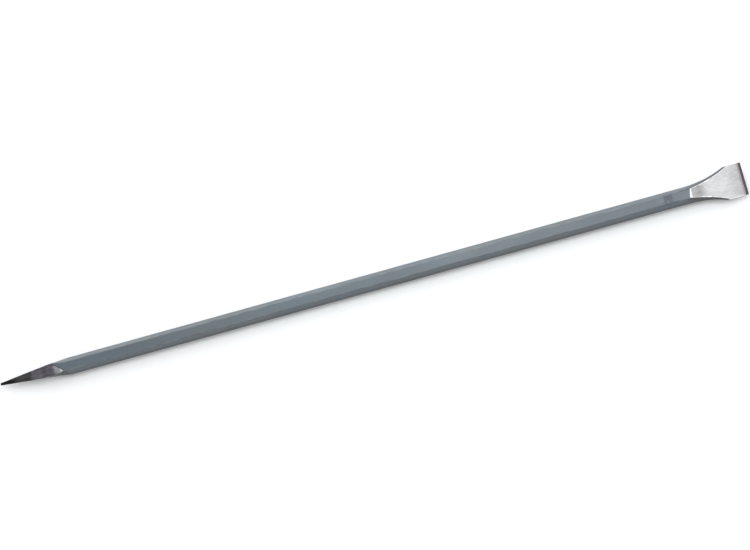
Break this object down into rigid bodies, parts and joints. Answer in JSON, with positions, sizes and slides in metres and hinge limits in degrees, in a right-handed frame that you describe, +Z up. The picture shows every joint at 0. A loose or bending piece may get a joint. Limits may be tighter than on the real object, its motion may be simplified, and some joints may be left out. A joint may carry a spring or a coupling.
{
  "type": "pry bar",
  "caption": "Long hexagonal steel pry bar with a ground square point at one end and a flared, ground chisel blade at the other, coated grey between them.",
  "frame": {"origin": "on the lower flat of the hexagonal shank, half way along the bar and on the bar's own axis in plan, with the bar lying on that flat", "axes": "+X along the bar from the point to the cutting edge, +Z up through the upper flat, +Y across the bar"},
  "size_m": [1.5, 0.0634, 0.0303],
  "materials": {
    "bare_steel": "coarsely ground, darkened towards the tip of the point",
    "grey_coat": "satin grey coat with slight orange peel, rubbed at the edges"
  },
  "bodies": {
    "root": {"point": "bare_steel", "shank": "bare_steel", "blade": "bare_steel", "point_coat": "grey_coat", "shank_coat": "grey_coat", "blade_coat": "grey_coat"}
  },
  "joints": []
}
